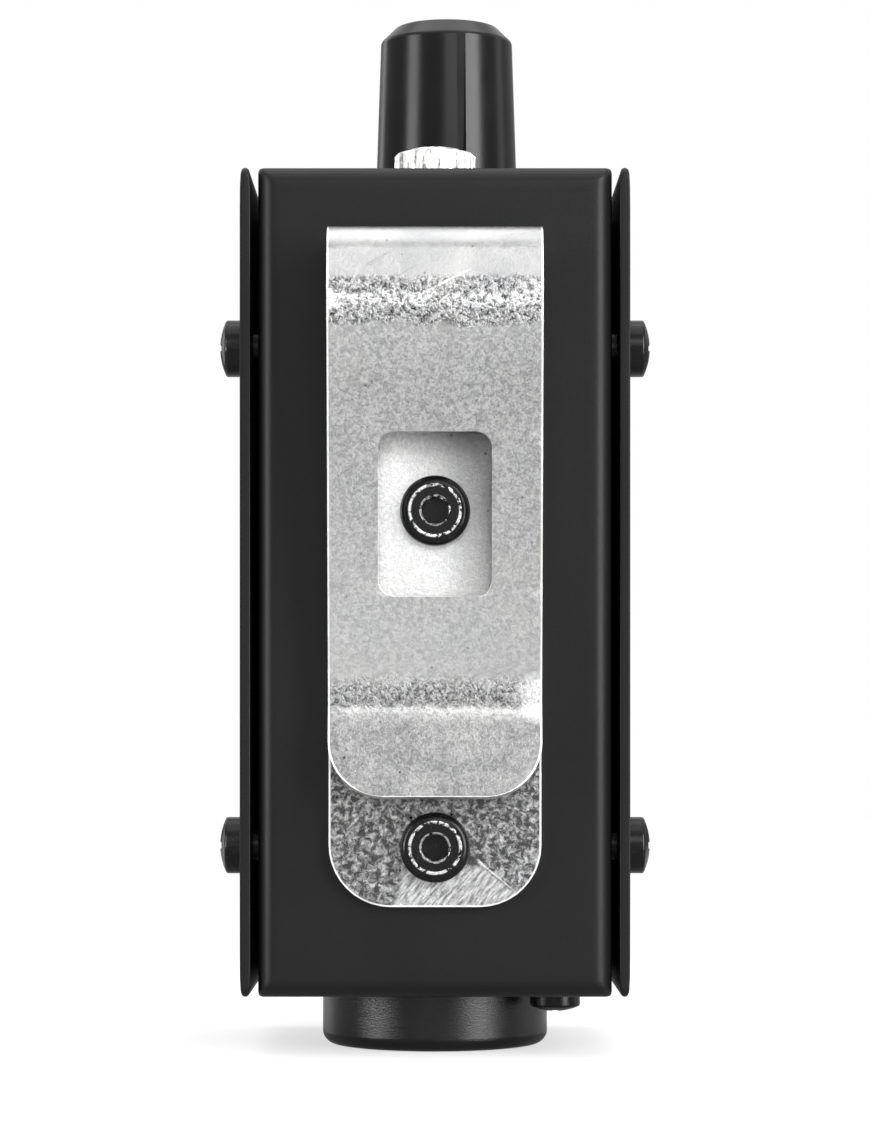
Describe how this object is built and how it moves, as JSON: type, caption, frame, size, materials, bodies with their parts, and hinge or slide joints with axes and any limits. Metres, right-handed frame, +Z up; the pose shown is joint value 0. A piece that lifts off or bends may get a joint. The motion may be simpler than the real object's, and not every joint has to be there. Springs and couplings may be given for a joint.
{
  "type": "wired monitor belt pack",
  "caption": "Small black sheet-metal audio belt pack with a spring belt clip on its back, a volume knob and headphone jack on top and an XLR socket below.",
  "frame": {"origin": "centre of the XLR socket's open rim, the lowest point of the pack", "axes": "+Z up along the case towards the knob, -Y out of the back panel that carries the belt clip, +X to the right when the back is looked at"},
  "size_m": [0.0426, 0.0461, 0.1055],
  "materials": {
    "powder_coat": "fine-textured satin black powder coat on bent steel sheet",
    "black_screw": "glossy black zinc-plated steel",
    "zinc_plated": "zinc-plated steel",
    "clip_nickel": "nickel-plated spring steel, scuffed and speckled",
    "knob_black": "satin black moulded plastic",
    "brass": "plain brass",
    "aluminium_shaft": "turned aluminium",
    "phenolic": "brown phenolic sheet",
    "tinned": "tinned spring metal",
    "black_moulding": "black glass-filled moulding",
    "bright_nickel": "bright nickel plate",
    "black_metal": "satin black die-cast metal",
    "gold_contact": "gold-plated contacts",
    "wire_white": "white insulated lead",
    "wire_red": "red insulated lead",
    "wire_black": "black insulated lead",
    "wire_green": "green insulated lead"
  },
  "bodies": {
    "case": {"rear_chassis": "powder_coat", "front_cover": "powder_coat", "cover_screws": "black_screw", "cover_clinch_nuts": "zinc_plated", "clip_base_plate": "clip_nickel", "clip_screws": "black_screw", "clip_lock_washers": "zinc_plated", "clip_nuts": "zinc_plated", "pot_bushing_plate": "zinc_plated", "pot_lock_washer": "zinc_plated", "pot_nut": "zinc_plated", "pot_wafers": "phenolic", "pot_terminals": "tinned", "pot_cans": "zinc_plated", "jack_bushing": "bright_nickel", "jack_nut": "bright_nickel", "jack_washer": "bright_nickel", "jack_body": "black_moulding", "jack_tip_spring": "tinned", "jack_ring_spring": "tinned", "jack_sleeve_lug": "tinned", "xlr_shell": "black_metal", "xlr_insert": "black_moulding", "xlr_contacts": "gold_contact", "xlr_latch_rivet": "zinc_plated", "xlr_screws": "black_screw", "xlr_nuts": "zinc_plated", "xlr_lock_washer": "zinc_plated", "ground_lug": "tinned", "wire_left_in": "wire_white", "wire_left_out": "wire_white", "wire_right_in": "wire_red", "wire_right_out": "wire_red", "wire_ground_in": "wire_black", "wire_ground_out": "wire_black", "wire_case_ground": "wire_green"},
    "knob": {"volume_knob": "knob_black", "knob_collet": "brass", "pot_shaft": "aluminium_shaft", "pot_rotors": "black_moulding", "pot_wipers": "brass"},
    "clip_leaf": {"clip_spring_leaf": "clip_nickel"},
    "push_tab": {"xlr_push_tab": "black_metal"},
    "latch_leaf": {"xlr_latch_leaf": "tinned"}
  },
  "joints": [
    {"name": "volume_turn", "type": "hinge", "parent": "case", "child": "knob", "pos_m": [0.0012, 0.007, 0.087], "axis": [0, 0, 1], "range_deg": [-150, 150]},
    {"name": "clip_flex", "type": "hinge", "parent": "case", "child": "clip_leaf", "pos_m": [0, -0.0225, 0.07685], "axis": [-1, 0, 0], "range_deg": [0, 7], "stiffness_Nm_per_rad": 6, "springref_deg": -2.86},
    {"name": "latch_push", "type": "slide", "parent": "case", "child": "push_tab", "axis": [0, 0, 1], "range_m": [0, 0.0012], "stiffness_N_per_m": 600, "springref_m": -0.001},
    {"name": "latch_leaf_flex", "type": "hinge", "parent": "case", "child": "latch_leaf", "pos_m": [0.0124, 0, 0.021], "axis": [0, -1, 0], "range_deg": [0, 7.6]}
  ],
  "couplings": [
    {"joint": "latch_leaf_flex", "follows": "latch_push", "rad_per_m": 110}
  ]
}
